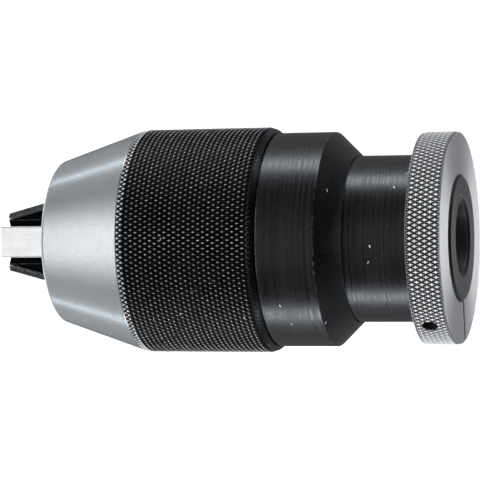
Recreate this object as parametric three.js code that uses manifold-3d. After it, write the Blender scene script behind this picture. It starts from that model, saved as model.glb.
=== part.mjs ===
// Keyless self-tightening drill chuck, 13 mm class, with a B16 tapered socket.
// Millimetres. The chuck's axis is X, with the jaws toward +X. The origin is the centre of the socket's
// mouth, on the rear face. Up is +Z.
import * as THREE from 'three';
import { mergeVertices } from 'three/addons/utils/BufferGeometryUtils.js';
import Module from 'manifold-3d';

const wasm = await Module();
wasm.setup();

// ---------------------------------------------------------------- driving dimensions
const GAP = 0.3; // running clearance between neighbouring pieces
const FACETS = 48; // sides on the larger turned surfaces
const RING_FACETS = 32; // sides on the bearing's rings
const SCREW_FACETS = 24; // sides on the clamp screw
const BAR_FACETS = 16; // sides on plain round bars and holes
const PIN_FACETS = 12; // sides on dowels and other small holes
const ARC_STEPS = 4; // straight stretches in a rounded corner or groove
const OVERCUT = 1; // how far a cutter runs past the surface it opens
const DEG = Math.PI / 180;

// Jaw travel: the three jaws slide along lines that lean in toward the axis.
const LEAN = 18.25 * DEG;
const SLOPE = Math.tan(LEAN);
const GRIP_RADIUS = 2.6; // half the opening that the jaws stand at
const OPENING_TRAVEL = 3.9; // radial, to an opening of 13 mm
const CLOSING_TRAVEL = 2.1; // radial, to an opening of 1 mm
const BACK_TRAVEL = OPENING_TRAVEL / SLOPE; // the same two, along X
const FORWARD_TRAVEL = CLOSING_TRAVEL / SLOPE;
const JAW_TURNS = [0, 120 * DEG, 240 * DEG]; // about X, from straight up
const BETWEEN_JAWS = [60 * DEG, 180 * DEG, 300 * DEG];

// Jaws.
const JAW_TIP_X = 105;
const JAW_TIP_BACK = 5.8; // radius of the jaw's back at its tip
const JAW_WIDTH = 7;
const JAW_WEB_WIDTH = 6; // below the full-width rail along the back
const JAW_RAIL_DEPTH = 1.6;
const JAW_EDGE = 0.3; // bevel along the back's two long edges
const JAW_LAND = 0.5; // half width of the narrow gripping land
const JAW_WEDGE_SLOPE = Math.tan(30 * DEG); // three wedges of 120 degrees close on one another
const JAW_GRIP_LENGTH = 22;
const JAW_HEEL_RADIUS = 16.4;
const JAW_NECK_WIDTH = 3.8;
const FOOT_INNER = 7.6;
const FOOT_OUTER = 16;
const FOOT_LENGTH = 1.8;

// Feed screw.
const GUIDE_RING_X = 75.9;
const HEAD_FRONT_X = GUIDE_RING_X - FORWARD_TRAVEL - GAP;
const HEAD_LENGTH = 6;
const HEAD_RADIUS = 20;
const HEAD_LIP = 2.2; // metal in front of the T-slots
const STEM_LENGTH = 24.2;
const STEM_RADIUS = 7.8;
const SLOT_INNER = FOOT_INNER - CLOSING_TRAVEL - GAP;
const HEAD_REAR_X = HEAD_FRONT_X - HEAD_LENGTH;

// Body with its B16 socket.
const SOCKET_MOUTH_RADIUS = 15.733 / 2;
const SOCKET_TAPER = 1 / 20.02; // on the diameter
const SOCKET_DEPTH = 24;
const SOCKET_LEAD_IN = 0.65;
const BODY_END_RADIUS = 13.9;
const BODY_RADIUS = 18.25;
const NECK_RADIUS = 16.6;
const SPIGOT_RADIUS = 14;
const BODY_EDGE = 0.6;
const BODY_FRONT_X = HEAD_REAR_X - BACK_TRAVEL - GAP;
const SCREW_BORE_X = HEAD_REAR_X - STEM_LENGTH - BACK_TRAVEL - 2 * GAP;

// Grip collar.
const COLLAR_REAR_X = 0.6;
const COLLAR_FRONT_X = 8.1;
const COLLAR_RADIUS = 23.25;
const COLLAR_EDGE = 0.35;
const COLLAR_MIDDLE_X = (COLLAR_REAR_X + COLLAR_FRONT_X) / 2;
const SLIT_ANGLE = -11 * DEG; // from +Y toward +Z
const SLIT_WIDTH = 1.2;
const SPANNER_HOLE_ANGLE = 36 * DEG;
const SPANNER_HOLE_X = 4.75;
const SPANNER_HOLE_RADIUS = 1.7;
const SPANNER_HOLE_DEPTH = 6;
const CLAMP_LINE_RADIUS = 18.4; // the clamp screw's distance from the chuck's axis
const CLAMP_SEAT = 6; // its head seat's distance from the slit
const CLAMP_HEAD_RADIUS = 2.75;
const CLAMP_HEAD_LENGTH = 3;
const CLAMP_STEM_RADIUS = 1.5;
const CLAMP_STEM_LENGTH = 14;
const CLAMP_HEX_SIDES = 6;
const CLAMP_HEX_RADIUS = 1.45;
const CLAMP_HEX_DEPTH = 1.5;

// Rear shell.
const SHELL_REAR_X = 22.8;
const SHELL_SHOULDER_X = 27.8;
const SHELL_RADIUS = 23.6;
const SHELL_BORE = 21.5;
const SHELL_FLANGE_X = 28.3; // front face of its inward flange
const SHELL_STEP_X = 40.6;
const SHELL_FRONT_X = 58;
const SPIGOT_SHELL_RADIUS = 22.9;

// Knurled sleeve.
const SLEEVE_REAR_X = 40.9;
const SLEEVE_FRONT_X = 71.2;
const SLEEVE_RADIUS = 25;
const SLEEVE_REAR_BEVEL = 1.2;
const SLEEVE_FRONT_BEVEL = 0.35;

// Nose cone.
const CONE_REAR_X = SLEEVE_FRONT_X + GAP;
const CONE_FRONT_X = 91;
const CONE_REAR_RADIUS = 24.85;
const CONE_FRONT_RADIUS = 18.2;
const CONE_ROUND = 1.2;
const CONE_BORE_ROOM = 0.8; // between the jaws' backs and the conical bore
const SKIRT_REAR_X = SHELL_FRONT_X + GAP;
const SKIRT_BORE = 20.9;
const GUIDE_SEAT_X = 78.8;

// Jaw guide and its dowels.
const GUIDE_FRONT_X = 90;
const GUIDE_BORE = 6.8;
const GUIDE_RING_RADIUS = 20.5;
const DOWEL_RADIUS = 1.2;
const DOWEL_CIRCLE = 18.2;
const DOWEL_REAR_X = 76.1;
const DOWEL_LENGTH = 6.5;

// Thrust bearing.
const BALL_COUNT = 16;
const BALL_RADIUS = 1.5;
const BALL_CIRCLE = 19;
const BALL_X = 31.7;
const BALL_MERIDIANS = 10;
const BALL_BANDS = 6;
const GROOVE_RADIUS = 1.7;
const RACE_INNER = NECK_RADIUS + GAP;
const RACE_OUTER = SHELL_BORE - GAP;
const RACE_REAR_X = SHELL_FLANGE_X + GAP;
const RACE_LENGTH = 2;
const CAGE_HALF = 0.7;
const NUT_REAR_X = 2 * BALL_X - RACE_REAR_X + GAP;
const NUT_FRONT_X = NUT_REAR_X + 6.4;
const NUT_THREAD_RUNOUT = 1.4; // how far the neck runs on past the nut
const NUT_HOLE_COUNT = 4;
const NUT_HOLE_CIRCLE = 19;
const NUT_HOLE_RADIUS = 1.1;
const NUT_HOLE_DEPTH = 3;

// ---------------------------------------------------------------- materials
const finish = (color, roughness, metalness) =>
  () => new THREE.MeshStandardMaterial({ color, roughness, metalness });
const satinSteel = finish(0xc9ccd0, 0.34, 1);
const brightSteel = finish(0xd4d6d8, 0.28, 1);
const blackOxide = finish(0x1c1c1e, 0.42, 0.7);
const jawSteel = finish(0xc6c9cc, 0.26, 1);
const groundSteel = finish(0xb4b8bc, 0.3, 1);
const ballSteel = finish(0xe2e4e6, 0.12, 1);
const cageBrass = finish(0xb08d4a, 0.4, 1);

// ---------------------------------------------------------------- geometry helpers
function toSolid(geometry) {
  const bare = geometry.index ? geometry.toNonIndexed() : geometry.clone();
  bare.deleteAttribute('normal');
  bare.deleteAttribute('uv');
  const merged = mergeVertices(bare, 1e-4);
  const mesh = new wasm.Mesh({
    numProp: 3,
    vertProperties: new Float32Array(merged.attributes.position.array),
    triVerts: new Uint32Array(merged.index.array),
  });
  return new wasm.Manifold(mesh);
}

function toGeometry(solid) {
  const { vertProperties, triVerts } = solid.getMesh();
  const geometry = new THREE.BufferGeometry();
  geometry.setAttribute('position', new THREE.BufferAttribute(vertProperties, 3));
  geometry.setIndex(new THREE.BufferAttribute(triVerts, 1));
  geometry.computeVertexNormals();
  return geometry;
}

const cut = (solid, cutters) => cutters.reduce((left, cutter) => left.subtract(cutter), solid);

// A solid of revolution about X. The closed outline is a list of [x, radius], with the outer side
// running forward.
function turned(outline, facets = FACETS) {
  const points = [...outline, outline[0]].map(([x, radius]) => new THREE.Vector2(radius, x));
  return new THREE.LatheGeometry(points, facets).rotateZ(-90 * DEG);
}

// Points on a circle in the (x, radius) plane, from one angle to another, measured from +X.
function arc(x, radius, r, from, to, steps) {
  return Array.from({ length: steps + 1 }, (_, i) => {
    const angle = from + ((to - from) * i) / steps;
    return [x + r * Math.cos(angle), radius + r * Math.sin(angle)];
  });
}

// A round bar along X.
function barAlongX(radius, rearX, length, sides = BAR_FACETS) {
  return new THREE.CylinderGeometry(radius, radius, length, sides)
    .rotateZ(-90 * DEG)
    .translate(rearX + length / 2, 0, 0);
}

// A block given by its lowest and highest corners.
function block(low, high) {
  const size = high.map((value, i) => value - low[i]);
  const middle = high.map((value, i) => (value + low[i]) / 2);
  return new THREE.BoxGeometry(...size).translate(...middle);
}

// A prism whose outline is a list of [x, radius] in the plane of X and +Z, centred on that plane.
function sidePrism(outline, width) {
  const shape = new THREE.Shape(outline.map(([x, radius]) => new THREE.Vector2(x, radius)));
  return new THREE.ExtrudeGeometry(shape, { depth: width, bevelEnabled: false })
    .rotateX(90 * DEG)
    .translate(0, width / 2, 0);
}

// A prism along X whose section is a list of [across, up].
function endPrism(section, rearX, length) {
  const shape = new THREE.Shape(section.map(([across, up]) => new THREE.Vector2(across, up)));
  return new THREE.ExtrudeGeometry(shape, { depth: length, bevelEnabled: false })
    .rotateX(90 * DEG)
    .rotateZ(90 * DEG)
    .translate(rearX, 0, 0);
}

// Radius of the jaws' backs where they cross x.
const backRadius = (x) => JAW_TIP_BACK + (JAW_TIP_X - x) * SLOPE;

// A prism along the jaws' line of travel. Its section is a list of [across, up] from the line of their backs.
function travelPrism(section) {
  return endPrism(section, -JAW_TIP_X, 2 * JAW_TIP_X)
    .rotateY(LEAN)
    .translate(JAW_TIP_X, 0, JAW_TIP_BACK);
}

// The [across, up] corners of a rectangle of the given half width.
const rectangle = (half, bottom, top) => [[-half, bottom], [half, bottom], [half, top], [-half, top]];

const chuck = new THREE.Group();

function add(name, geometry, material, turn = 0) {
  const mesh = new THREE.Mesh(geometry, material());
  mesh.name = name;
  mesh.rotation.x = turn;
  chuck.add(mesh);
}

// ---------------------------------------------------------------- body
function bodyGeometry() {
  const socketEnd = SOCKET_MOUTH_RADIUS - (SOCKET_DEPTH * SOCKET_TAPER) / 2;
  return turned([
    [0, SOCKET_MOUTH_RADIUS + SOCKET_LEAD_IN],
    [0, BODY_END_RADIUS - BODY_EDGE],
    [BODY_EDGE, BODY_END_RADIUS],
    [COLLAR_FRONT_X + GAP, BODY_END_RADIUS],
    [COLLAR_FRONT_X + GAP, BODY_RADIUS],
    [SHELL_FLANGE_X, BODY_RADIUS],
    [SHELL_FLANGE_X, NECK_RADIUS],
    [NUT_FRONT_X + NUT_THREAD_RUNOUT, NECK_RADIUS],
    [NUT_FRONT_X + NUT_THREAD_RUNOUT, SPIGOT_RADIUS],
    [BODY_FRONT_X, SPIGOT_RADIUS],
    [BODY_FRONT_X, STEM_RADIUS + GAP],
    [SCREW_BORE_X, STEM_RADIUS + GAP],
    [SCREW_BORE_X, 0],
    [SOCKET_DEPTH, 0],
    [SOCKET_DEPTH, socketEnd],
    [SOCKET_LEAD_IN, SOCKET_MOUTH_RADIUS],
  ]);
}

// ---------------------------------------------------------------- grip collar and its clamp screw
// Places something built along X, from the slit outward, on the clamp screw's line.
function onClampLine(geometry) {
  return geometry
    .rotateZ(90 * DEG)
    .rotateX(90 * DEG)
    .translate(0, CLAMP_LINE_RADIUS, 0)
    .rotateX(SLIT_ANGLE)
    .translate(COLLAR_MIDDLE_X, 0, 0);
}

function collarGeometry() {
  const ring = turned([
    [COLLAR_REAR_X, BODY_END_RADIUS + GAP],
    [COLLAR_REAR_X, COLLAR_RADIUS - COLLAR_EDGE],
    [COLLAR_REAR_X + COLLAR_EDGE, COLLAR_RADIUS],
    [COLLAR_FRONT_X - COLLAR_EDGE, COLLAR_RADIUS],
    [COLLAR_FRONT_X, COLLAR_RADIUS - COLLAR_EDGE],
    [COLLAR_FRONT_X, BODY_END_RADIUS + GAP],
  ]);
  const slit = block(
    [-OVERCUT, BODY_END_RADIUS - OVERCUT, -SLIT_WIDTH / 2],
    [COLLAR_FRONT_X + OVERCUT, COLLAR_RADIUS + OVERCUT, SLIT_WIDTH / 2],
  ).rotateX(SLIT_ANGLE);
  const holeBottom = COLLAR_RADIUS - SPANNER_HOLE_DEPTH;
  const spannerHole = barAlongX(SPANNER_HOLE_RADIUS, holeBottom, 2 * SPANNER_HOLE_DEPTH)
    .rotateZ(90 * DEG)
    .rotateX(SPANNER_HOLE_ANGLE)
    .translate(SPANNER_HOLE_X, 0, 0);
  const pocket = onClampLine(
    barAlongX(CLAMP_HEAD_RADIUS + GAP, -COLLAR_RADIUS, COLLAR_RADIUS - CLAMP_SEAT),
  );
  const stemEnd = CLAMP_STEM_LENGTH - CLAMP_SEAT + 2 * GAP;
  const stemHole = onClampLine(
    barAlongX(CLAMP_STEM_RADIUS + GAP, -CLAMP_SEAT - OVERCUT, CLAMP_SEAT + OVERCUT + stemEnd),
  );
  return toGeometry(cut(toSolid(ring), [slit, spannerHole, pocket, stemHole].map(toSolid)));
}

function clampScrewGeometry() {
  const seat = -CLAMP_SEAT - GAP;
  const screw = turned([
    [seat - CLAMP_HEAD_LENGTH, 0],
    [seat - CLAMP_HEAD_LENGTH, CLAMP_HEAD_RADIUS],
    [seat, CLAMP_HEAD_RADIUS],
    [seat, CLAMP_STEM_RADIUS],
    [seat + CLAMP_STEM_LENGTH, CLAMP_STEM_RADIUS],
    [seat + CLAMP_STEM_LENGTH, 0],
  ], SCREW_FACETS);
  const hex = barAlongX(
    CLAMP_HEX_RADIUS,
    seat - CLAMP_HEAD_LENGTH - OVERCUT,
    CLAMP_HEX_DEPTH + OVERCUT,
    CLAMP_HEX_SIDES,
  );
  return onClampLine(toGeometry(toSolid(screw).subtract(toSolid(hex))));
}

// ---------------------------------------------------------------- outer shells
function rearShellGeometry() {
  const lip = BODY_RADIUS + GAP;
  return turned([
    [SHELL_REAR_X, lip],
    [SHELL_REAR_X, lip + GAP],
    [SHELL_SHOULDER_X, SHELL_RADIUS],
    [SHELL_STEP_X, SHELL_RADIUS],
    [SHELL_STEP_X, SPIGOT_SHELL_RADIUS],
    [SHELL_FRONT_X, SPIGOT_SHELL_RADIUS],
    [SHELL_FRONT_X, SHELL_BORE],
    [SHELL_FLANGE_X, SHELL_BORE],
    [SHELL_FLANGE_X, lip],
  ]);
}

function knurledSleeveGeometry() {
  const bore = SPIGOT_SHELL_RADIUS + GAP;
  return turned([
    [SLEEVE_REAR_X, bore],
    [SLEEVE_REAR_X, SLEEVE_RADIUS - SLEEVE_REAR_BEVEL],
    [SLEEVE_REAR_X + SLEEVE_REAR_BEVEL, SLEEVE_RADIUS],
    [SLEEVE_FRONT_X - SLEEVE_FRONT_BEVEL, SLEEVE_RADIUS],
    [SLEEVE_FRONT_X, SLEEVE_RADIUS - SLEEVE_FRONT_BEVEL],
    [SLEEVE_FRONT_X, bore],
  ]);
}

function dowelHole(turn) {
  const length = DOWEL_LENGTH + OVERCUT + GAP;
  return barAlongX(DOWEL_RADIUS + GAP, DOWEL_REAR_X - OVERCUT, length, PIN_FACETS)
    .translate(0, 0, DOWEL_CIRCLE)
    .rotateX(turn);
}

function noseConeGeometry() {
  const fall = Math.atan2(CONE_REAR_RADIUS - CONE_FRONT_RADIUS, CONE_FRONT_X - CONE_REAR_X);
  const roundX = CONE_FRONT_X - CONE_ROUND;
  const roundRadius = CONE_FRONT_RADIUS + CONE_ROUND * Math.tan(fall) - CONE_ROUND / Math.cos(fall);
  const cone = turned([
    [SKIRT_REAR_X, SKIRT_BORE],
    [SKIRT_REAR_X, SPIGOT_SHELL_RADIUS],
    [CONE_REAR_X, SPIGOT_SHELL_RADIUS],
    [CONE_REAR_X, CONE_REAR_RADIUS],
    ...arc(roundX, roundRadius, CONE_ROUND, 90 * DEG - fall, 0, ARC_STEPS),
    [CONE_FRONT_X, backRadius(CONE_FRONT_X) + CONE_BORE_ROOM],
    [GUIDE_SEAT_X, backRadius(GUIDE_SEAT_X) + CONE_BORE_ROOM],
    [GUIDE_SEAT_X, SKIRT_BORE],
  ]);
  return toGeometry(cut(toSolid(cone), BETWEEN_JAWS.map(dowelHole).map(toSolid)));
}

// ---------------------------------------------------------------- jaw guide and dowels
function jawGuideGeometry() {
  const ringFront = GUIDE_SEAT_X - GAP;
  const room = CONE_BORE_ROOM - GAP;
  const plug = turned([
    [GUIDE_RING_X, GUIDE_BORE],
    [GUIDE_RING_X, GUIDE_RING_RADIUS],
    [ringFront, GUIDE_RING_RADIUS],
    [ringFront, backRadius(ringFront) + room],
    [GUIDE_FRONT_X, backRadius(GUIDE_FRONT_X) + room],
    [GUIDE_FRONT_X, GUIDE_BORE],
  ]);
  const slotSection = rectangle(JAW_WIDTH / 2 + GAP, -2 * GUIDE_BORE, CONE_BORE_ROOM);
  const slots = JAW_TURNS.map((turn) => travelPrism(slotSection).rotateX(turn));
  return toGeometry(cut(toSolid(plug), [...slots, ...BETWEEN_JAWS.map(dowelHole)].map(toSolid)));
}

function dowelGeometry() {
  return barAlongX(DOWEL_RADIUS, DOWEL_REAR_X, DOWEL_LENGTH, PIN_FACETS)
    .translate(0, 0, DOWEL_CIRCLE);
}

// ---------------------------------------------------------------- feed screw
function feedScrewGeometry() {
  const screw = turned([
    [HEAD_REAR_X - STEM_LENGTH, 0],
    [HEAD_REAR_X - STEM_LENGTH, STEM_RADIUS - OVERCUT],
    [HEAD_REAR_X - STEM_LENGTH + OVERCUT, STEM_RADIUS],
    [HEAD_REAR_X, STEM_RADIUS],
    [HEAD_REAR_X, HEAD_RADIUS],
    [HEAD_FRONT_X, HEAD_RADIUS],
    [HEAD_FRONT_X, 0],
  ]);
  const lipX = HEAD_FRONT_X - HEAD_LIP;
  const neck = JAW_NECK_WIDTH / 2 + GAP;
  const foot = JAW_WIDTH / 2 + GAP;
  const outer = HEAD_RADIUS + OVERCUT;
  const neckSlot = block([lipX - GAP, -neck, SLOT_INNER], [HEAD_FRONT_X + OVERCUT, neck, outer]);
  const footSlot = block([lipX - FOOT_LENGTH - 2 * GAP, -foot, SLOT_INNER], [lipX, foot, outer]);
  const slots = JAW_TURNS.flatMap((turn) => [neckSlot, footSlot].map((slot) => slot.clone().rotateX(turn)));
  return toGeometry(cut(toSolid(screw), slots.map(toSolid)));
}

// ---------------------------------------------------------------- jaws
function jawGeometry() {
  const rearX = HEAD_FRONT_X + GAP;
  const gripEndX = JAW_TIP_X - JAW_GRIP_LENGTH;
  const side = sidePrism([
    [JAW_TIP_X, GRIP_RADIUS],
    [JAW_TIP_X, JAW_HEEL_RADIUS],
    [rearX, JAW_HEEL_RADIUS],
    [rearX, GRIP_RADIUS + (gripEndX - rearX) * SLOPE],
    [gripEndX, GRIP_RADIUS],
  ].reverse(), 2 * JAW_WIDTH);
  const spread = JAW_LAND + JAW_WIDTH;
  const wedgeTop = GRIP_RADIUS + JAW_WIDTH * JAW_WEDGE_SLOPE;
  const wedge = endPrism([
    [-JAW_LAND, GRIP_RADIUS - OVERCUT],
    [JAW_LAND, GRIP_RADIUS - OVERCUT],
    [JAW_LAND, GRIP_RADIUS],
    [spread, wedgeTop],
    [spread, 2 * JAW_HEEL_RADIUS],
    [-spread, 2 * JAW_HEEL_RADIUS],
    [-spread, wedgeTop],
    [-JAW_LAND, GRIP_RADIUS],
  ], 0, 2 * JAW_TIP_X);
  const half = JAW_WIDTH / 2;
  const rail = travelPrism([
    [-half, -JAW_RAIL_DEPTH],
    [half, -JAW_RAIL_DEPTH],
    [half, -JAW_EDGE],
    [half - JAW_EDGE, 0],
    [JAW_EDGE - half, 0],
    [-half, -JAW_EDGE],
  ]);
  const web = travelPrism(rectangle(JAW_WEB_WIDTH / 2, -JAW_HEEL_RADIUS, -JAW_EDGE));
  const blade = toSolid(rail)
    .add(toSolid(web))
    .intersect(toSolid(side))
    .intersect(toSolid(wedge));
  const lipX = HEAD_FRONT_X - HEAD_LIP;
  const footFrontX = lipX - GAP;
  const neck = block(
    [footFrontX - GAP, -JAW_NECK_WIDTH / 2, FOOT_INNER],
    [rearX + OVERCUT, JAW_NECK_WIDTH / 2, FOOT_OUTER],
  );
  const foot = block([footFrontX - FOOT_LENGTH, -half, FOOT_INNER], [footFrontX, half, FOOT_OUTER]);
  return toGeometry(blade.add(toSolid(neck)).add(toSolid(foot)));
}

// ---------------------------------------------------------------- thrust bearing
// A race whose ball groove faces forward (side 1) or rearward (side -1).
function raceGeometry(side) {
  const outerX = BALL_X - side * (BALL_X - RACE_REAR_X);
  const innerX = outerX + side * RACE_LENGTH;
  const half = Math.acos((BALL_X - RACE_REAR_X - RACE_LENGTH) / GROOVE_RADIUS);
  const groove = arc(BALL_X, BALL_CIRCLE, GROOVE_RADIUS, 180 * DEG - half, 180 * DEG + half, ARC_STEPS)
    .map(([x, radius]) => [BALL_X + side * (x - BALL_X), radius]);
  const outline = [
    [outerX, RACE_INNER],
    [outerX, RACE_OUTER],
    [innerX, RACE_OUTER],
    ...groove,
    [innerX, RACE_INNER],
  ];
  return turned(side > 0 ? outline : outline.reverse(), RING_FACETS);
}

function ballSpot(index) {
  return (index * 360 * DEG) / BALL_COUNT;
}

function cageGeometry() {
  const ring = turned([
    [BALL_X - CAGE_HALF, RACE_INNER],
    [BALL_X - CAGE_HALF, RACE_OUTER],
    [BALL_X + CAGE_HALF, RACE_OUTER],
    [BALL_X + CAGE_HALF, RACE_INNER],
  ], RING_FACETS);
  const pockets = Array.from({ length: BALL_COUNT }, (_, i) =>
    barAlongX(GROOVE_RADIUS, BALL_X - OVERCUT, 2 * OVERCUT, PIN_FACETS)
      .translate(0, 0, BALL_CIRCLE)
      .rotateX(ballSpot(i)));
  return toGeometry(cut(toSolid(ring), pockets.map(toSolid)));
}

function ballGeometry() {
  return new THREE.SphereGeometry(BALL_RADIUS, BALL_MERIDIANS, BALL_BANDS)
    .translate(BALL_X, 0, BALL_CIRCLE);
}

function flangeNutGeometry() {
  const ring = turned([
    [NUT_REAR_X, RACE_INNER],
    [NUT_REAR_X, RACE_OUTER],
    [NUT_FRONT_X, RACE_OUTER],
    [NUT_FRONT_X, RACE_INNER],
  ]);
  const holes = Array.from({ length: NUT_HOLE_COUNT }, (_, i) =>
    barAlongX(NUT_HOLE_RADIUS, NUT_FRONT_X - NUT_HOLE_DEPTH, NUT_HOLE_DEPTH + OVERCUT, PIN_FACETS)
      .translate(0, 0, NUT_HOLE_CIRCLE)
      .rotateX((i * 360 * DEG) / NUT_HOLE_COUNT));
  return toGeometry(cut(toSolid(ring), holes.map(toSolid)));
}

// ---------------------------------------------------------------- assembly
add('body', bodyGeometry(), blackOxide);
add('grip_collar', collarGeometry(), brightSteel);
add('collar_clamp_screw', clampScrewGeometry(), blackOxide);
add('flange_nut', flangeNutGeometry(), groundSteel);
add('front_race', raceGeometry(-1), groundSteel);
add('rear_race', raceGeometry(1), groundSteel);
add('ball_cage', cageGeometry(), cageBrass);
for (let i = 0; i < BALL_COUNT; i += 1) {
  add(`bearing_ball_${String(i + 1).padStart(2, '0')}`, ballGeometry(), ballSteel, ballSpot(i));
}
add('rear_shell', rearShellGeometry(), blackOxide);
add('knurled_sleeve', knurledSleeveGeometry(), blackOxide);
add('nose_cone', noseConeGeometry(), satinSteel);
add('jaw_guide', jawGuideGeometry(), jawSteel);
BETWEEN_JAWS.forEach((turn, i) => add(`guide_dowel_${i + 1}`, dowelGeometry(), groundSteel, turn));
add('feed_screw', feedScrewGeometry(), groundSteel);
JAW_TURNS.forEach((turn, i) => add(`jaw_${i + 1}`, jawGeometry(), jawSteel, turn));

export default chuck;
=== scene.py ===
import math

import bmesh
import bpy
from mathutils import Matrix, Vector


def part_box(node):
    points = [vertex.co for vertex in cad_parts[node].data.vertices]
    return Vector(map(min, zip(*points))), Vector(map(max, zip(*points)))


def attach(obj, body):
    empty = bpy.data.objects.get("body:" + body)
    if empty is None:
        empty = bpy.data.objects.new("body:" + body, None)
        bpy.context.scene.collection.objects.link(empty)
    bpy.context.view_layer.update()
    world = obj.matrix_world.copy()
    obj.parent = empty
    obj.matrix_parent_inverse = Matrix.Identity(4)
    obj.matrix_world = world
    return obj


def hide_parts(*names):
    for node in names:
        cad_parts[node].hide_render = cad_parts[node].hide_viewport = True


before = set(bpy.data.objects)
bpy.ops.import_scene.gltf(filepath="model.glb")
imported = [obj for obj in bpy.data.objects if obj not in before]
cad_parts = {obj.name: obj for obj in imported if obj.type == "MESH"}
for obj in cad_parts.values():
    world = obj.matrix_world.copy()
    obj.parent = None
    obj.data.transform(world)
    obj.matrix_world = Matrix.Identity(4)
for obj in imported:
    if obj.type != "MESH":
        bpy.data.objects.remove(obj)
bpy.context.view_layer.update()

MM = 0.001
TURN = 2 * math.pi


# ------------------------------------------------------------------ places from the frame
def reach(node):
    """Rear x, front x and outer radius of a turned CAD node."""
    low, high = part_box(node)
    return low.x, high.x, max(high.y, high.z, -low.y, -low.z)


BODY_REAR, BODY_FRONT, BODY_R = reach("body")
COLLAR_REAR, COLLAR_FRONT, COLLAR_R = reach("grip_collar")
SHELL_REAR, SHELL_FRONT, SHELL_R = reach("rear_shell")
SLEEVE_REAR, SLEEVE_FRONT, SLEEVE_R = reach("knurled_sleeve")
SKIRT_REAR, CONE_FRONT, CONE_R = reach("nose_cone")
RACE_REAR, _, RACE_R = reach("rear_race")
SCREW_REAR, SCREW_FRONT, _ = reach("feed_screw")
GUIDE_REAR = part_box("jaw_guide")[0].x
NUT_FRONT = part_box("flange_nut")[1].x
JAW_LOW, JAW_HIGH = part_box("jaw_1")

# sizes inside the CAD nodes, which their boxes don't show
GAP = 0.3 * MM
SPIGOT_R = 22.9 * MM           # outside of the shell's spigot and the cone's skirt, under the sleeve
SKIRT_BORE = 20.9 * MM
SHELL_BORE = RACE_R + GAP
SEAT_R = 13.9 * MM             # the body's seat in the collar
SOCKET_R = 15.733 / 2 * MM     # large end of the tapered socket
SCREW_TRAVEL = 11.83 * MM      # how far the feed screw draws back as the jaws open
SEAM = 0.08 * MM               # open seam between the sleeve and the nose cone
CONE_REAR = SLEEVE_FRONT + SEAM

# the jaws' line of travel
JAW_LEAN = math.radians(18.25)
JAW_SLOPE = math.tan(JAW_LEAN)
JAW_BACK = 5.8 * MM            # radius of a jaw's back at its tip
JAW_HALF = 3.5 * MM            # half the width across a jaw's back
JAW_WEB = 3.0 * MM             # half the thickness of the web below it
JAW_LIP = 1.6 * MM             # depth of the wide back
GRIP_R = JAW_LOW.z


def back_radius(x):
    """Radius of the jaws' backs where they cross x."""
    return JAW_BACK + (JAW_HIGH.x - x) * JAW_SLOPE


# ------------------------------------------------------------------ mesh helpers
LATHE_SEGMENTS = 256
ROD_SIDES = 48
ROUND_STEPS = 4
SMOOTH_ANGLE = 32              # degrees between faces that still look smooth
FACETED_ANGLE = 12


def mesh_object(name, verts, faces, edge_values=None, sharp_angle=SMOOTH_ANGLE):
    """An object from points and faces. edge_values say how far each point may be rubbed through to the
    steel.
    """
    mesh = bpy.data.meshes.new(name)
    mesh.from_pydata(verts, [], faces)
    mesh.validate()
    if edge_values:
        mesh.attributes.new("edge", "FLOAT", "POINT").data.foreach_set("value", edge_values)
    piece = bpy.data.objects.new(name, mesh)
    bpy.context.scene.collection.objects.link(piece)
    finish_mesh(piece, sharp_angle)
    return piece


def finish_mesh(piece, sharp_angle):
    """Faces out, smooth where the surface is smooth and sharp at its corners."""
    bm = bmesh.new()
    bm.from_mesh(piece.data)
    bmesh.ops.recalc_face_normals(bm, faces=bm.faces)
    for face in bm.faces:
        face.smooth = True
    limit = math.radians(sharp_angle)
    for edge in bm.edges:
        edge.smooth = len(edge.link_faces) == 2 and edge.calc_face_angle(0) < limit
    bm.to_mesh(piece.data)
    bm.free()


def rounded(outline):
    """A closed outline of (x, radius, round) with each corner rounded by its third value.
    Returns (x, radius, edge), where edge is 1 on the rounds and fades to 0 just beside them."""
    points = []
    fade = 0.15 * MM
    for i, (x, r, fillet) in enumerate(outline):
        here = Vector((x, r))
        if fillet <= 0:
            points.append((x, r, 0.0))
            continue
        before = (Vector(outline[i - 1][:2]) - here).normalized()
        after = (Vector(outline[(i + 1) % len(outline)][:2]) - here).normalized()
        half = before.angle(after) / 2
        along = fillet / math.tan(half)
        middle = here + (before + after).normalized() * (fillet / math.sin(half))
        start, end = here + before * along - middle, here + after * along - middle
        points.append((*(here + before * (along + fade)), 0.0))
        for k in range(ROUND_STEPS + 1):
            spoke = start.lerp(end, k / ROUND_STEPS).normalized() * fillet
            points.append((*(middle + spoke), 1.0))
        points.append((*(here + after * (along + fade)), 0.0))
    return points


def lathe(name, outline):
    """A solid turned about X from a closed outline of (x, radius, round)."""
    segments = LATHE_SEGMENTS
    on_axis = 1e-4 * MM
    verts, edge_values, rings = [], [], []
    for x, r, edge in rounded(outline):
        if r < on_axis:
            rings.append([len(verts)] * segments)
            verts.append((x, 0, 0))
            edge_values.append(edge)
            continue
        rings.append(list(range(len(verts), len(verts) + segments)))
        for j in range(segments):
            a = TURN * j / segments
            verts.append((x, r * math.cos(a), r * math.sin(a)))
            edge_values.append(edge)
    faces = []
    for i, ring in enumerate(rings):
        other = rings[(i + 1) % len(rings)]
        if ring[0] == ring[1] and other[0] == other[1]:
            continue
        for j in range(segments):
            k = (j + 1) % segments
            corners = [ring[j], ring[k], other[k], other[j]]
            faces.append(list(dict.fromkeys(corners)))
    return mesh_object(name, verts, faces, edge_values)


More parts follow.
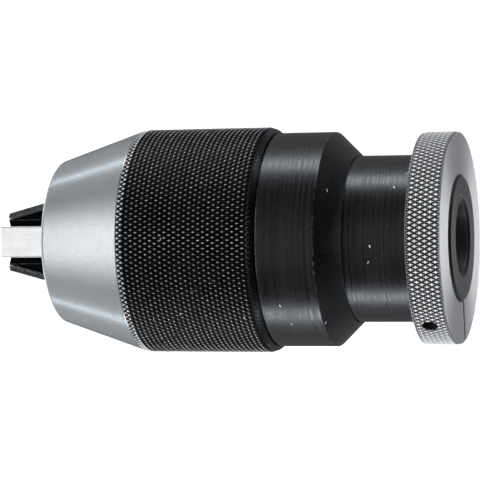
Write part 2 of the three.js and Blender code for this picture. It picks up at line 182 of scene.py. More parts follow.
def knurled(name, rear, front, crest, bore, envelope, pitch, teeth, depth, flat):
    """A ring with a diamond knurl. envelope(x) limits the radius where the ends are bevelled,
    and flat is the share of the half pitch that a groove's flank takes."""
    rows = round((front - rear) / (pitch / 4))
    step = (front - rear) / rows
    columns = 4 * teeth

    def groove(quarter):
        """0 on a groove's line and 1 midway between two, for a place in quarter pitches."""
        p = (quarter % 4) / 4
        return min(p, 1 - p) * 2

    verts, faces = [], []
    for i in range(rows + 1):
        x = rear + i * step
        limit = envelope(x)
        for j in range(columns):
            height = min(groove(i + j), groove(i - j), flat) / flat
            r = min(limit, crest - depth * (1 - height))
            a = TURN * j / columns
            verts.append((x, r * math.cos(a), r * math.sin(a)))
    for i in range(rows):
        for j in range(columns):
            k = (j + 1) % columns
            a, b = i * columns + j, i * columns + k
            c, d = (i + 1) * columns + k, (i + 1) * columns + j
            if (i + j) % 2:
                faces += [(a, b, d), (b, c, d)]
            else:
                faces += [(a, b, c), (a, c, d)]
    first, last = len(verts), rows * columns
    for x in (rear, front):
        for j in range(columns):
            a = TURN * j / columns
            verts.append((x, bore * math.cos(a), bore * math.sin(a)))
    for j in range(columns):
        k = (j + 1) % columns
        inner_rear, inner_front = (first + j, first + k), (first + columns + j, first + columns + k)
        faces.append((j, k, inner_rear[1], inner_rear[0]))
        faces.append((last + j, last + k, inner_front[1], inner_front[0]))
        faces.append((*inner_rear, inner_front[1], inner_front[0]))
    return mesh_object(name, verts, faces, sharp_angle=FACETED_ANGLE)


def prism(name, section, along, start, end):
    """A prism of (a, b) points. `along` maps (a, b, distance) to a place."""
    count = len(section)
    verts = [along(a, b, start) for a, b in section] + [along(a, b, end) for a, b in section]
    faces = [list(range(count)), list(range(count, 2 * count))]
    faces += [(i, (i + 1) % count, count + (i + 1) % count, count + i) for i in range(count)]
    return mesh_object(name, verts, faces)


def mirrored(right_half):
    """The other half of a section that is the same on both sides."""
    return [(-a, b) for a, b in reversed(right_half)]


def rod(name, start, end, radius):
    """A round bar between two points."""
    axis = (end - start).normalized()
    across = axis.orthogonal().normalized()
    other = axis.cross(across)
    angles = [TURN * i / ROD_SIDES for i in range(ROD_SIDES)]
    section = [(radius * math.cos(angle), radius * math.sin(angle)) for angle in angles]

    def along(a, b, d):
        return tuple(start + axis * d + across * a + other * b)

    return prism(name, section, along, 0, (end - start).length)


def combine(piece, others, operation):
    """Cuts, joins or intersects piece with the others, and removes them."""
    for other in others:
        modifier = piece.modifiers.new("combine", "BOOLEAN")
        modifier.operation = operation
        modifier.solver = "EXACT"
        modifier.object = other
        bake_modifiers(piece)
        bpy.data.objects.remove(other)


def bake_modifiers(piece):
    """Puts the result of the piece's modifiers into its mesh."""
    graph = bpy.context.evaluated_depsgraph_get()
    mesh = bpy.data.meshes.new_from_object(piece.evaluated_get(graph), depsgraph=graph)
    piece.modifiers.clear()
    piece.data = mesh


def connected(seed, seen):
    """The points that edges join to the seed, which are added to those seen."""
    part, waiting = [], [seed]
    seen.add(seed)
    while waiting:
        vert = waiting.pop()
        part.append(vert)
        for edge in vert.link_edges:
            other = edge.other_vert(vert)
            if other not in seen:
                seen.add(other)
                waiting.append(other)
    return part


def clean_mesh(piece):
    """Merges doubled points and keeps only the largest connected part, without crumbs from the cuts."""
    bm = bmesh.new()
    bm.from_mesh(piece.data)
    bmesh.ops.remove_doubles(bm, verts=bm.verts, dist=0.001 * MM)
    seen = set()
    parts = [connected(seed, seen) for seed in bm.verts if seed not in seen]
    largest = max(parts, key=len)
    crumbs = [vert for part in parts if part is not largest for vert in part]
    bmesh.ops.delete(bm, geom=crumbs, context="VERTS")
    bm.to_mesh(piece.data)
    bm.free()


def soften(piece, width):
    """A small bevel along the sharp edges, as a stoned edge has."""
    bevel = piece.modifiers.new("bevel", "BEVEL")
    bevel.width = width
    bevel.segments = 1
    bevel.limit_method = "ANGLE"
    bevel.angle_limit = math.radians(25)
    bevel.harden_normals = False
    bake_modifiers(piece)
    clean_mesh(piece)
    finish_mesh(piece, FACETED_ANGLE)


# ------------------------------------------------------------------ node helpers
RANGE_SOCKETS = ("From Min", "From Max", "To Min", "To Max")


class Graph:
    """Short calls for building one node tree."""

    def __init__(self, tree):
        self.tree = tree

    def add(self, kind, **values):
        node = self.tree.nodes.new(kind)
        for key, value in values.items():
            setattr(node, key, value)
        return node

    def link(self, output, target):
        self.tree.links.new(output, target)

    def math(self, operation, a, b=0.0, clamp=False):
        node = self.add("ShaderNodeMath", operation=operation, use_clamp=clamp)
        for socket, value in zip(node.inputs, (a, b)):
            if isinstance(value, (int, float)):
                socket.default_value = value
            else:
                self.link(value, socket)
        return node.outputs[0]

    def split(self, vector):
        """The X, Y and Z of a vector, by name."""
        node = self.add("ShaderNodeSeparateXYZ")
        self.link(vector, node.inputs[0])
        return node.outputs

    def ramp(self, value, low, high, out_low=0.0, out_high=1.0, shape="LINEAR"):
        """Changes one range into another, and holds its ends."""
        node = self.add("ShaderNodeMapRange", clamp=True, interpolation_type=shape)
        for socket, number in zip(RANGE_SOCKETS, (low, high, out_low, out_high)):
            node.inputs[socket].default_value = number
        self.link(value, node.inputs["Value"])
        return node.outputs["Result"]


class Finish(Graph):
    """One material's nodes."""

    def __init__(self, name):
        self.material = bpy.data.materials.new(name)
        self.material.use_nodes = True
        super().__init__(self.material.node_tree)
        self.shader = self.tree.nodes["Principled BSDF"]
        self.place = self.add("ShaderNodeTexCoord").outputs["Object"]

    def noise(self, scale, detail=3.0, stretch=(1, 1, 1), rough=0.5):
        mapping = self.add("ShaderNodeMapping")
        mapping.inputs["Scale"].default_value = stretch
        self.link(self.place, mapping.inputs["Vector"])
        noise = self.add("ShaderNodeTexNoise")
        noise.inputs["Scale"].default_value = scale
        noise.inputs["Detail"].default_value = detail
        noise.inputs["Roughness"].default_value = rough
        self.link(mapping.outputs[0], noise.inputs["Vector"])
        return noise.outputs["Fac"]

    def mix(self, factor, a, b):
        node = self.add("ShaderNodeMix", data_type="RGBA")
        self.link(factor, node.inputs["Factor"])
        for socket, value in zip((node.inputs[6], node.inputs[7]), (a, b)):
            if isinstance(value, tuple):
                socket.default_value = (*value, 1.0)
            else:
                self.link(value, socket)
        return node.outputs[2]

    def bump(self, height, distance, strength, normal=None):
        node = self.add("ShaderNodeBump")
        node.inputs["Strength"].default_value = strength
        node.inputs["Distance"].default_value = distance
        self.link(height, node.inputs["Height"])
        if normal:
            self.link(normal, node.inputs["Normal"])
        return node.outputs["Normal"]

    def radius(self):
        """Distance from the chuck's axis."""
        parts = self.split(self.place)
        y2 = self.math("MULTIPLY", parts["Y"], parts["Y"])
        z2 = self.math("MULTIPLY", parts["Z"], parts["Z"])
        return self.math("SQRT", self.math("ADD", y2, z2))

    def ring_marks(self, density, spread=0.02):
        """Fine lathe marks: they run round the axis on cylinders and on faces alike."""
        parts = self.split(self.place)
        down = self.math("SUBTRACT", parts["X"], self.radius())
        joined = self.add("ShaderNodeCombineXYZ")
        self.link(self.math("MULTIPLY", down, density), joined.inputs["X"])
        for axis in "YZ":
            self.link(self.math("MULTIPLY", parts[axis], density * spread), joined.inputs[axis])
        noise = self.add("ShaderNodeTexNoise")
        noise.inputs["Scale"].default_value = 1.0
        noise.inputs["Detail"].default_value = 4.0
        noise.inputs["Roughness"].default_value = 0.65
        self.link(joined.outputs[0], noise.inputs["Vector"])
        return noise.outputs["Fac"]

    def attribute(self, name):
        """A value stored on the mesh."""
        return self.add("ShaderNodeAttribute", attribute_name=name).outputs["Fac"]

    def specks(self, scale, size, amount, stretch=(1, 1, 1), slant=0.0):
        """Scattered small marks: 1 on a mark and 0 elsewhere."""
        mapping = self.add("ShaderNodeMapping", vector_type="TEXTURE")
        mapping.inputs["Rotation"].default_value = (0, 0, slant)
        mapping.inputs["Scale"].default_value = [1 / value for value in stretch]
        self.link(self.place, mapping.inputs["Vector"])
        cells = self.add("ShaderNodeTexVoronoi")
        cells.inputs["Scale"].default_value = scale
        self.link(mapping.outputs[0], cells.inputs["Vector"])
        near = self.math("LESS_THAN", cells.outputs["Distance"], size)
        pick = self.add("ShaderNodeSeparateColor")
        self.link(cells.outputs["Color"], pick.inputs[0])
        return self.math("MULTIPLY", near, self.math("GREATER_THAN", pick.outputs[0], 1 - amount))

    def around_axis(self, amount):
        """Highlights that follow lathe marks round the axis."""
        tangent = self.add("ShaderNodeTangent", direction_type="RADIAL", axis="X")
        self.shader.inputs["Anisotropic"].default_value = amount
        self.shader.inputs["Anisotropic Rotation"].default_value = 0.25
        self.link(tangent.outputs[0], self.shader.inputs["Tangent"])

    def finish(self, color, roughness, normal=None, metallic=1.0):
        self.link(color, self.shader.inputs["Base Color"])
        self.link(roughness, self.shader.inputs["Roughness"])
        if not self.shader.inputs["Metallic"].is_linked:
            self.shader.inputs["Metallic"].default_value = metallic
        if normal:
            self.link(normal, self.shader.inputs["Normal"])
        return self.material


# ------------------------------------------------------------------ materials
# Near-black painted shade for the grooves of the collar's knurl.
GROOVE_SHADE = (0.012, 0.013, 0.012)
RUST = (0.10, 0.065, 0.035)


def satin_steel():
    """The nose: fine-turned steel with a soft grain."""
    n = Finish("satin_steel")
    marks = n.ring_marks(4200)
    grain = n.noise(900, 5, rough=0.7)
    cloud = n.noise(60, 3)
    stain_and_shade = n.specks(260, 0.10, 0.012)
    color = n.mix(n.ramp(cloud, 0.3, 0.7), (0.51, 0.545, 0.56), (0.585, 0.62, 0.635))
    color = n.mix(stain_and_shade, color, (0.35, 0.33, 0.31))
    speckle = n.noise(3200, 2, rough=0.8)
    color = n.mix(n.ramp(speckle, 0.35, 0.65, 0.0, 0.38), color, (0.30, 0.31, 0.33))
    roughness = n.math("ADD", n.ramp(grain, 0.2, 0.8, 0.20, 0.26), n.ramp(marks, 0.2, 0.8, -0.03, 0.04))
    n.around_axis(0.3)
    normal = n.bump(marks, 2e-6, 0.5)
    normal = n.bump(grain, 0.6e-6, 0.5, normal)
    return n.finish(color, roughness, normal, metallic=0.8)


def bright_steel():
    """The collar: bright steel on its ends and crests, with painted shade making the knurl's grooves
    near-black.
    """
    n = Finish("bright_steel")
    marks = n.ring_marks(3600, 0.01)
    grain = n.noise(1100, 4, rough=0.7)
    # 1 on the crests; below them the grooves get the painted shade.
    crest_mask = n.ramp(n.radius(), COLLAR_R - 0.26 * MM, COLLAR_R - 0.12 * MM)
    x = n.split(n.place)["X"]
    rear_rim = n.ramp(x, COLLAR_REAR + 0.3 * MM, COLLAR_REAR + 0.4 * MM, 1.0, 0.0)
    front_rim = n.ramp(x, COLLAR_FRONT - 0.2 * MM, COLLAR_FRONT - 0.1 * MM)
    ends = n.math("MAXIMUM", rear_rim, front_rim)
    # Painted shade: the knurl's grooves turn near-black, while the crests and rims keep the bright
    # steel.
    color = n.mix(n.math("MAXIMUM", crest_mask, ends), GROOVE_SHADE, (0.80, 0.81, 0.83))
    roughness = n.math("ADD", n.ramp(grain, 0.2, 0.8, 0.40, 0.50), n.ramp(marks, 0.2, 0.8, -0.04, 0.04))
    n.link(n.ramp(ends, 0, 1, 0.12, 1.0), n.shader.inputs["Metallic"])
    n.around_axis(0.75)
    normal = n.bump(marks, 5e-6, 0.7)
    normal = n.bump(grain, 2e-6, 0.5, normal)
    return n.finish(color, roughness, normal)


def knurl_wear_and_highlight(n):
    """Tips over the sleeve rubbed through to the steel and lightened further as a painted highlight, and
    a bright row of half teeth along its front edge.
    """
    # Partly rubbed steel, partly a painted highlight: the tips are pushed toward near-white.
    tips = n.ramp(n.radius(), SLEEVE_R - 0.21 * MM, SLEEVE_R - 0.07 * MM, 0.0, 2.0)
    tips = n.math("MULTIPLY", tips, n.ramp(n.noise(500), 0.3, 0.7, 0.35, 1.0))
    x = n.split(n.place)["X"]
    row = n.ramp(x, SLEEVE_FRONT - 1.05 * MM, SLEEVE_FRONT - 0.85 * MM, 0.0, 3.0)
    teeth = n.ramp(n.radius(), SLEEVE_R - 0.40 * MM, SLEEVE_R - 0.27 * MM)
    return n.math("MULTIPLY", n.math("MAXIMUM", tips, n.math("MULTIPLY", row, teeth)), 0.48)


def edge_wear(n):
    """Corners on the turned pieces that faintly show the steel through."""
    edge = n.math("MULTIPLY", n.attribute("edge"), n.ramp(n.noise(700, 4), 0.45, 0.75))
    return n.math("MULTIPLY", edge, 0.12)


def black_oxide(name, knurled):
    """Blackened steel with turning marks, nicks and scratches."""
    n = Finish(name)
    n.shader.inputs["IOR"].default_value = 1.6 if knurled else 2.2
    marks = n.ring_marks(5200, 0.008)
    streaks = n.ring_marks(3400, 0.003)
    grain = n.noise(1500, 4, rough=0.7)
    nicks = n.specks(420, 0.10, 0.035, (2.2, 0.6, 0.8), 0.35)
    scratches = n.specks(460, 0.09, 0.035, (2.4, 0.6, 0.8), -0.5)
    # On the knurled sleeve this mask also holds the painted highlight on the tips.
    wear_and_highlight = knurl_wear_and_highlight(n) if knurled else edge_wear(n)
    bare_and_highlight = n.math("MAXIMUM", n.math("MAXIMUM", nicks, scratches), wear_and_highlight, clamp=True)
    oxide = n.mix(n.ramp(n.noise(120, 4), 0.3, 0.7), (0.004, 0.004, 0.005), (0.008, 0.0085, 0.010))
    # Near-white where the steel shows through; on the sleeve's tips this is partly a painted highlight.
    color = n.mix(bare_and_highlight, oxide, (0.85, 0.85, 0.86))
    if knurled:
        color = n.mix(n.specks(600, 0.3, 0.02), color, RUST)
    else:
        socket = n.ramp(n.radius(), SOCKET_R + 0.03 * MM, SOCKET_R + 0.13 * MM, 1.0, 0.0)
        color = n.mix(socket, color, (0.10, 0.10, 0.10))
    fine = n.math("ADD", n.ramp(grain, 0.2, 0.8, 0.28, 0.40), n.ramp(marks, 0.25, 0.75, -0.04, 0.05))
    roughness = n.math("ADD", fine, n.ramp(streaks, 0.35, 0.65, -0.10, 0.11))
    n.around_axis(0.3)
    normal = n.bump(marks, 5e-6, 0.6)
    normal = n.bump(streaks, 4e-6, 0.5, normal)
    normal = n.bump(grain, 4e-6, 0.5, normal)
    return n.finish(color, roughness, normal, metallic=0.25)


def jaw_steel():
    """Ground jaws whose inward gripping faces are darkened as painted shade, and whose outer bevels are
    lightened as rubbed steel and a painted highlight.
    """
    n = Finish("jaw_steel")
    grain = n.noise(900, 4, stretch=(0.25, 1, 1), rough=0.7)
    cloud = n.noise(150, 3)
    spots = n.specks(700, 0.13, 0.05)
    color = n.mix(n.ramp(cloud, 0.3, 0.7), (0.57, 0.57, 0.575), (0.62, 0.62, 0.625))
    color = n.mix(spots, color, (0.22, 0.20, 0.18))
    # Painted shade: the inward web and gripping faces are made near-black.
    color = n.mix(n.attribute("stain_and_shade"), color, (0.03, 0.03, 0.03))
    # Outer bevels lightened: partly rubbed steel, partly a painted highlight line.
    color = n.mix(n.attribute("worn_and_highlight"), color, (0.80, 0.80, 0.80))
    n.link(n.ramp(n.attribute("worn_and_highlight"), 0, 1, 1.0, 0.5), n.shader.inputs["Metallic"])
    roughness = n.ramp(grain, 0.2, 0.8, 0.22, 0.34)
    normal = n.bump(grain, 3e-6, 0.5)
    return n.finish(color, roughness, normal)


def plain_metal(name, light, dark, rough=0.25, round_marks=True):
    """Metal for the pieces inside, between two shades."""
    n = Finish(name)
    grain = n.noise(1200, 4, rough=0.7)
    cloud = n.noise(150, 3)
    color = n.mix(n.ramp(cloud, 0.3, 0.7), dark, light)
    roughness = n.ramp(grain, 0.2, 0.8, rough - 0.05, rough + 0.07)
    normal = n.bump(grain, 3e-6, 0.5)
    if round_marks:
        normal = n.bump(n.ring_marks(4000), 4e-6, 0.6, normal)
    return n.finish(color, roughness, normal)


def floor_material():
    """Pale, and glowing so that it stays even."""
    n = Finish("studio_floor")
    color = n.mix(n.noise(3, 2), (0.86, 0.86, 0.86), (0.88, 0.88, 0.88))
    n.link(color, n.shader.inputs["Base Color"])
    n.shader.inputs["Roughness"].default_value = 0.8
    n.shader.inputs["Specular IOR Level"].default_value = 0.1
    n.shader.inputs["Emission Color"].default_value = (1, 1, 1, 1)
    n.shader.inputs["Emission Strength"].default_value = 0.9
    return n.material


SATIN = satin_steel()
BRIGHT = bright_steel()
BLACK = black_oxide("black_oxide", knurled=False)
BLACK_KNURL = black_oxide("black_oxide_knurled", knurled=True)
JAW_STEEL = jaw_steel()
GROUND = plain_metal("ground_steel", (0.58, 0.59, 0.61), (0.46, 0.47, 0.49))
BALL = plain_metal("ball_steel", (0.82, 0.83, 0.84), (0.76, 0.77, 0.78), 0.08, round_marks=False)
BRASS = plain_metal("cage_brass", (0.66, 0.48, 0.20), (0.52, 0.37, 0.15))


def dress(piece, material, body, slot, *nodes):
    """Gives a new piece its finish and its body, and hides the CAD nodes it stands for."""
    piece.data.materials.clear()
    piece.data.materials.append(material)
    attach(piece, body)
    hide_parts(*nodes)


def repaint(node, material):
    """Gives a CAD node that stays a better finish."""
    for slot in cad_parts[node].material_slots:
        slot.material = material


# ------------------------------------------------------------------ pieces
def make_body_core():
    """The body: collar seat, neck, thread for the nut, and the screw's bore and the socket inside."""
    step = COLLAR_FRONT + GAP
    neck = RACE_REAR - GAP
    neck_r, spigot_r, screw_bore = 16.6 * MM, 14 * MM, 8.1 * MM
    thread_end = NUT_FRONT + 1.4 * MM
    bore_end = SCREW_REAR - SCREW_TRAVEL - GAP
    socket_end_r, socket_depth = 14.534 / 2 * MM, 24 * MM
    lead, bevel = 0.65 * MM, 0.6 * MM
    outline = [
        (BODY_REAR, SOCKET_R + lead, 0.12 * MM),
        (BODY_REAR, SEAT_R - bevel, 0.15 * MM),
        (BODY_REAR + bevel, SEAT_R, 0.15 * MM),
        (step, SEAT_R, 0),
        (step, BODY_R, 0.25 * MM),
        (neck, BODY_R, 0.1 * MM),
        (neck, neck_r, 0),
        (thread_end, neck_r, 0.1 * MM),
        (thread_end, spigot_r, 0),
        (BODY_FRONT, spigot_r, 0.3 * MM),
        (BODY_FRONT, screw_bore, 0.3 * MM),
        (bore_end, screw_bore, 0),
        (bore_end, 0, 0),
        (BODY_REAR + socket_depth, 0, 0),
        (BODY_REAR + socket_depth, socket_end_r, 0),
        (BODY_REAR + lead, SOCKET_R, 0.1 * MM),
    ]
    dress(lathe("body_core", outline), BLACK, "body", "black_oxide", "body")


def around(angle):
    """Outward and forward directions at an angle round the axis from +Y."""
    outward = Vector((0, math.cos(angle), math.sin(angle)))
    forward = Vector((0, -math.sin(angle), math.cos(angle)))
    return outward, forward


def slit_cut(angle):
    """The slot that splits the collar on one side."""
    outward, forward = around(angle)
    half, inner, outer = 0.6 * MM, 11 * MM, 26 * MM
    start, end = -1 * MM, 12 * MM

    def along(a, b, d):
        return tuple(Vector((d, 0, 0)) + forward * a + outward * b)

    section = [(-half, inner), (half, inner), (half, outer), (-half, outer)]
    return prism("slit", section, along, start, end)


def spanner_cut(middle, angle):
    """The round hole in the rim for a spanner's pin."""
    outward = around(angle)[0]
    radius, depth, past_rim = 1.7 * MM, 6 * MM, 3 * MM
    centre = Vector((middle + 0.4 * MM, 0, 0))
    bottom = centre + outward * (COLLAR_R - depth)
    return rod("hole", bottom, centre + outward * (COLLAR_R + past_rim), radius)


def clamp_screw_cuts(middle, angle):
    """The clamp screw's pocket and thread, square across the slit."""
    outward, forward = around(angle)
    screw_r, head_seat, thread_end = 18.4 * MM, 6 * MM, 8.6 * MM
    pocket_r, thread_r, outside = 3.0 * MM, 1.75 * MM, 20 * MM
    line = Vector((middle, 0, 0)) + outward * screw_r
    pocket = rod("pocket", line - forward * head_seat, line - forward * outside, pocket_r)
    thread = rod("thread", line - forward * (head_seat + MM), line + forward * thread_end, thread_r)
    return [pocket, thread]


def make_grip_ring():
    """The split collar with its knurled rim."""
    bevel, bevel_slope = 0.35 * MM, 0.5
    clearance = 0.05 * MM

    def envelope(x):
        inset = min(x - COLLAR_REAR, COLLAR_FRONT - x, bevel)
        return COLLAR_R - bevel_slope * (bevel - inset)

    ring = knurled("grip_ring", COLLAR_REAR, COLLAR_FRONT, COLLAR_R, SEAT_R + clearance, envelope,
                   pitch=2.1 * MM, teeth=130, depth=0.5 * MM, flat=0.62)
    middle = (COLLAR_REAR + COLLAR_FRONT) / 2
    slit_angle, hole_angle = math.radians(-11), math.radians(36)
    cuts = [slit_cut(slit_angle), spanner_cut(middle, hole_angle), *clamp_screw_cuts(middle, slit_angle)]
    combine(ring, cuts, "DIFFERENCE")
    clean_mesh(ring)
    finish_mesh(ring, FACETED_ANGLE)
    dress(ring, BRIGHT, "body", "bright_steel", "grip_collar")


def make_rear_shell():
    """The smooth shell: lip round the body, 45 degree shoulder, and the spigot under the sleeve."""
    clearance = 0.12 * MM
    lip = BODY_R + clearance
    shoulder = SHELL_REAR + 5 * MM
    step = SLEEVE_REAR - GAP
    flange = RACE_REAR - GAP
    outline = [
        (SHELL_REAR, lip, 0),
        (SHELL_REAR, lip + 0.3 * MM, 0.1 * MM),
        (shoulder, SHELL_R, 0.35 * MM),
        (step, SHELL_R, 0.25 * MM),
        (step, SPIGOT_R, 0),
        (SHELL_FRONT, SPIGOT_R, 0.2 * MM),
        (SHELL_FRONT, SHELL_BORE, 0.2 * MM),
        (flange, SHELL_BORE, 0),
        (flange, lip, 0),
    ]
    dress(lathe("rear_shell_turned", outline), BLACK, "hood", "black_oxide", "rear_shell")


def make_sleeve():
    """The knurled sleeve, bevelled at the rear."""
    clearance = 0.1 * MM
    rear_length, rear_drop = 1.6 * MM, 1.2 * MM
    front_length, front_drop = 0.3 * MM, 0.12 * MM

    def envelope(x):
        rear = rear_drop * max(0.0, 1 - (x - SLEEVE_REAR) / rear_length)
        front = front_drop * max(0.0, 1 - (SLEEVE_FRONT - x) / front_length)
        return SLEEVE_R - max(rear, front)

    sleeve = knurled("sleeve_knurl", SLEEVE_REAR, SLEEVE_FRONT, SLEEVE_R, SPIGOT_R + clearance, envelope,
                     pitch=2.17 * MM, teeth=132, depth=0.6 * MM, flat=1.0)
    dress(sleeve, BLACK_KNURL, "hood", "black_oxide", "knurled_sleeve")


def make_nose_cone():
    """The nose, with its skirt and the conical bore that the jaws slide in."""
    front_r = 18.2 * MM
    seat = CONE_FRONT - 12.2 * MM
    room = 0.8 * MM
    outline = [
        (SKIRT_REAR, SKIRT_BORE, 0.2 * MM),
        (SKIRT_REAR, SPIGOT_R, 0.2 * MM),
        (CONE_REAR, SPIGOT_R, 0),
        (CONE_REAR, CONE_R, 0.2 * MM),
        (CONE_FRONT, front_r, 1.2 * MM),
        (CONE_FRONT, back_radius(CONE_FRONT) + room, 0.3 * MM),
        (seat, back_radius(seat) + room, 0),
        (seat, SKIRT_BORE, 0),
    ]
    dress(lathe("nose_cone_turned", outline), SATIN, "hood", "satin_steel", "nose_cone")


def mark_faces(blade):
    """Notes the inward gripping faces that get painted shade and the outer bevels that get rubbed steel
    and a painted highlight, for the jaws' finish.
    """
    bevel_most, near_back = 0.25 * MM, 2.2 * MM
    stain_and_shade = blade.data.attributes.new("stain_and_shade", "FLOAT", "FACE")
    worn_and_highlight = blade.data.attributes.new("worn_and_highlight", "FLOAT", "FACE")
    for face in blade.data.polygons:
        corners = [blade.data.vertices[i].co for i in face.vertices]
        longest = max((a - b).length for a, b in zip(corners, corners[1:] + corners[:1]))
        narrow = face.area / longest < bevel_most
        web = abs(face.normal.y) > 0.9 and abs(face.center.y) < JAW_WEB + 0.2 * MM
        inward = (web or face.normal.z < -0.4) and face.center.x > GUIDE_REAR
        outer = face.center.z > back_radius(face.center.x) - near_back
        # Narrow outer bevels take rubbed steel and a painted highlight; broad inward faces take painted
        # shade.
        worn_and_highlight.data[face.index].value = 1.0 if narrow and outer else 0.0
        stain_and_shade.data[face.index].value = 1.0 if inward and not narrow else 0.0


def jaw_bar(name):
    """A T-shaped bar along the jaw's line of travel: the wide back and the web below it."""
    bevel, deep = 0.3 * MM, 16 * MM
    along = Vector((math.cos(JAW_LEAN), 0, -math.sin(JAW_LEAN)))
    up = Vector((math.sin(JAW_LEAN), 0, math.cos(JAW_LEAN)))
    corner = Vector((JAW_HIGH.x, 0, JAW_BACK))

    def travel(a, b, d):
        return tuple(corner + along * d + up * b + Vector((0, a, 0)))

    right_half = [(JAW_WEB, -deep), (JAW_WEB, -JAW_LIP), (JAW_HALF, -JAW_LIP), (JAW_HALF, -bevel),
                  (JAW_HALF - bevel, 0)]
    behind, ahead = -70 * MM, 30 * MM
    return prism(name, right_half + mirrored(right_half), travel, behind, ahead)


def jaw_wedge():
    """The 120 degree sector that keeps the jaws apart, with a narrow land where they grip."""
    land, spread, top, length = 0.5 * MM, 7 * MM, 40 * MM, 2 * JAW_HIGH.x
    rise = spread * math.tan(math.radians(30))
    right_half = [(land, GRIP_R), (land + spread, GRIP_R + rise), (land + spread, top)]
    return prism("wedge", right_half + mirrored(right_half), lambda a, b, d: (d, a, b), 0, length)


def jaw_side(rear):
    """The jaw's outline from the side: the grip along the axis, then a slope back to the heel."""
    tip, heel_r = JAW_HIGH.x, JAW_HIGH.z
    grip_length, half_width = 22 * MM, 10 * MM
    grip_end = tip - grip_length
    below = GRIP_R - MM
    section = [(tip, below), (tip, heel_r), (rear, heel_r),
               (rear, GRIP_R + (grip_end - rear) * JAW_SLOPE), (grip_end, GRIP_R), (grip_end, below)]
    return prism("side", section, lambda a, b, d: (a, d, b), -half_width, half_width)


def jaw_foot(rear):
    """The foot and its neck, which the feed screw's T-slot carries."""
    front = SCREW_FRONT - 2.5 * MM
    back = front - 1.8 * MM
    neck, inner, outer = 1.9 * MM, 7.6 * MM, 16 * MM
    half = [(back, JAW_HALF), (front, JAW_HALF), (front, neck), (rear + MM, neck)]
    section = half + [(x, -y) for x, y in reversed(half)]
    return prism("foot", section, lambda a, b, d: (a, b, d), inner, outer)


def make_jaw(index):
    """One jaw, made at the top and turned to its place round the axis."""
    rear = SCREW_FRONT + GAP
    blade = jaw_bar(f"jaw_blade_{index}")
    combine(blade, [jaw_side(rear), jaw_wedge()], "INTERSECT")
    combine(blade, [jaw_foot(rear)], "UNION")
    soften(blade, 0.12 * MM)
    mark_faces(blade)
    blade.data.transform(Matrix.Rotation(TURN * (index - 1) / 3, 4, "X"))
    dress(blade, JAW_STEEL, f"jaw_{index}", "jaw_steel", f"jaw_{index}")


def paint_inner_nodes():
    """Finishes for the CAD nodes that no fine mesh replaces."""
    for node in ("feed_screw", "flange_nut", "front_race", "rear_race", "jaw_guide"):
        repaint(node, GROUND)
    repaint("ball_cage", BRASS)
    repaint("collar_clamp_screw", BLACK)
    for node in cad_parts:
        if node.startswith("guide_dowel"):
            repaint(node, GROUND)
        if node.startswith("bearing_ball"):
            repaint(node, BALL)


# ------------------------------------------------------------------ camera, floor and lights
VIEW_TILT = math.radians(15.86)
VIEW_ROLL = math.radians(0.516)
VIEW_DISTANCE = 569.2 * MM
VIEW_CENTRE = Vector((50.4 * MM, 0, 0))
VIEW_WIDTH = 106.857 * MM      # width of the picture at the chuck's axis
SENSOR = 36.0


def make_camera():
    """Above the chuck and tilted toward its rear face, with -Y up in the picture."""
    data = bpy.data.cameras.new("camera")
    data.sensor_width = SENSOR
    data.lens = SENSOR * VIEW_DISTANCE / VIEW_WIDTH
    data.clip_start, data.clip_end = 0.01, 20
    camera = bpy.data.objects.new("camera", data)
    back = Vector((-math.sin(VIEW_TILT), 0, math.cos(VIEW_TILT)))
    level = Vector((0, -1, 0))
    right = (-back).cross(level)
    up = level * math.cos(VIEW_ROLL) + right * math.sin(VIEW_ROLL)
    right = (-back).cross(up)
    turn = Matrix((right, up, back)).transposed()
    camera.matrix_world = Matrix.Translation(VIEW_CENTRE + back * VIEW_DISTANCE) @ turn.to_4x4()
    bpy.context.scene.collection.objects.link(camera)
    bpy.context.scene.camera = camera


def make_floor():
    """Just under the sleeve, unseen by reflections and shadow rays."""
    size = 3.0
    level = -SLEEVE_R - 0.2 * MM
    verts = [(-size, -size, level), (size, -size, level), (size, size, level), (-size, size, level)]
    floor = mesh_object("floor", verts, [(0, 1, 2, 3)])
    floor.data.materials.append(floor_material())
    floor.visible_glossy = False
    floor.visible_shadow = False


def area_light(name, direction, distance, size, power, color=(1, 1, 1), glossy=True,
               aim=VIEW_CENTRE):
    """A soft light in the given direction from a point on the chuck, facing it."""
    data = bpy.data.lights.new(name, "AREA")
    data.shape = "RECTANGLE"
    data.size, data.size_y = size
    data.energy = power
    data.color = color
    light = bpy.data.objects.new(name, data)
    away = Vector(direction).normalized()
    side = Vector((1, 0, 0)) - away * away.x
    side = side.normalized() if side.length > 0.2 else Vector((0, 1, 0))
    turn = Matrix((side, away.cross(side), away)).transposed()
    light.matrix_world = Matrix.Translation(aim + away * distance) @ turn.to_4x4()
    light.visible_glossy = glossy
    bpy.context.scene.collection.objects.link(light)
    return data


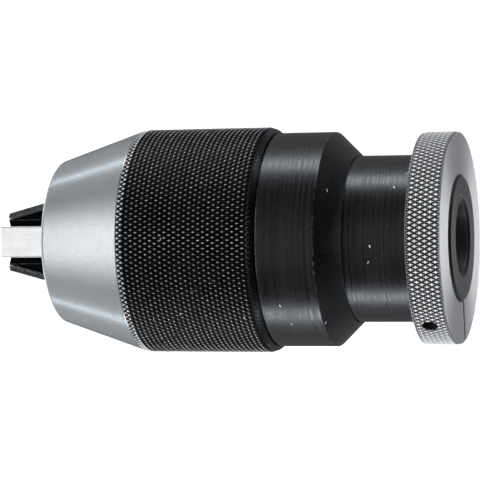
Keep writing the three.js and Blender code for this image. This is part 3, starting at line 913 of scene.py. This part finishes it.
def make_lights():
    """Strips along both sides for the long highlights, a light for the rear face, and two fills."""
    cool = (0.86, 0.93, 1.0)
    for name, side in (("left", -1), ("right", 1)):
        area_light(f"strip_{name}", (-0.11, 0.99 * side, 0.07), 0.5, (0.56, 0.13), 0.85, cool)
        area_light(f"low_strip_{name}", (0.62, 0.755 * side, -0.21), 0.5, (0.18, 0.03), 0.05, cool)
    area_light("face_box", (-0.75, 0, -0.66), 0.5, (0.2, 0.18), 0.34)
    collar_middle = Vector(((COLLAR_REAR + COLLAR_FRONT) / 2, 0, 0))
    collar_fill = area_light("collar_fill", (0, 0, 1), 0.09, (0.02, 0.03), 0.0015, glossy=False,
                             aim=collar_middle)
    collar_fill.spread = math.radians(34)
    area_light("top_fill", (0.45, 0.30, 0.84), 1.6, (2.0, 2.0), 32, glossy=False)


def make_world():
    """Dark above, so that the black steel stays black, paler below and toward the jaws."""
    below, level, above = (0.16, 0.165, 0.17, 1), (0.20, 0.20, 0.205, 1), (0.012, 0.012, 0.013, 1)
    world = bpy.data.worlds.new("studio")
    world.use_nodes = True
    n = Graph(world.node_tree)
    direction = n.split(n.add("ShaderNodeTexCoord").outputs["Generated"])
    sky = n.add("ShaderNodeValToRGB")
    stops = sky.color_ramp
    stops.elements[0].color = below
    stops.elements[1].position = 0.62
    stops.elements[1].color = above
    stops.elements.new(0.46).color = level
    n.link(n.ramp(direction["Z"], -1, 1), sky.inputs[0])
    around_sky = n.add("ShaderNodeVectorMath", operation="SCALE")
    n.link(sky.outputs[0], around_sky.inputs[0])
    n.link(n.ramp(direction["X"], -0.66, -0.36, 0.25, 1.0, "SMOOTHSTEP"), around_sky.inputs["Scale"])
    front = n.ramp(direction["X"], 0.42, 0.70, 0.0, 1.0, "SMOOTHSTEP")
    ahead = n.ramp(direction["X"], 0.86, 0.96, 1.0, 0.12, "SMOOTHSTEP")
    middle = n.ramp(n.math("ABSOLUTE", direction["Y"]), 0.10, 0.66, 1.75, 0.22, "SMOOTHSTEP")
    glow = n.math("MULTIPLY", n.math("MULTIPLY", front, middle), ahead)
    total = n.add("ShaderNodeVectorMath", operation="ADD")
    n.link(around_sky.outputs[0], total.inputs[0])
    n.link(glow, total.inputs[1])
    n.link(total.outputs[0], world.node_tree.nodes["Background"].inputs["Color"])
    bpy.context.scene.world = world


make_camera()
make_floor()
make_lights()
make_world()
make_body_core()
make_grip_ring()
make_rear_shell()
make_sleeve()
make_nose_cone()
for jaw_index in (1, 2, 3):
    make_jaw(jaw_index)
paint_inner_nodes()
bpy.context.scene.view_settings.view_transform = "Standard"
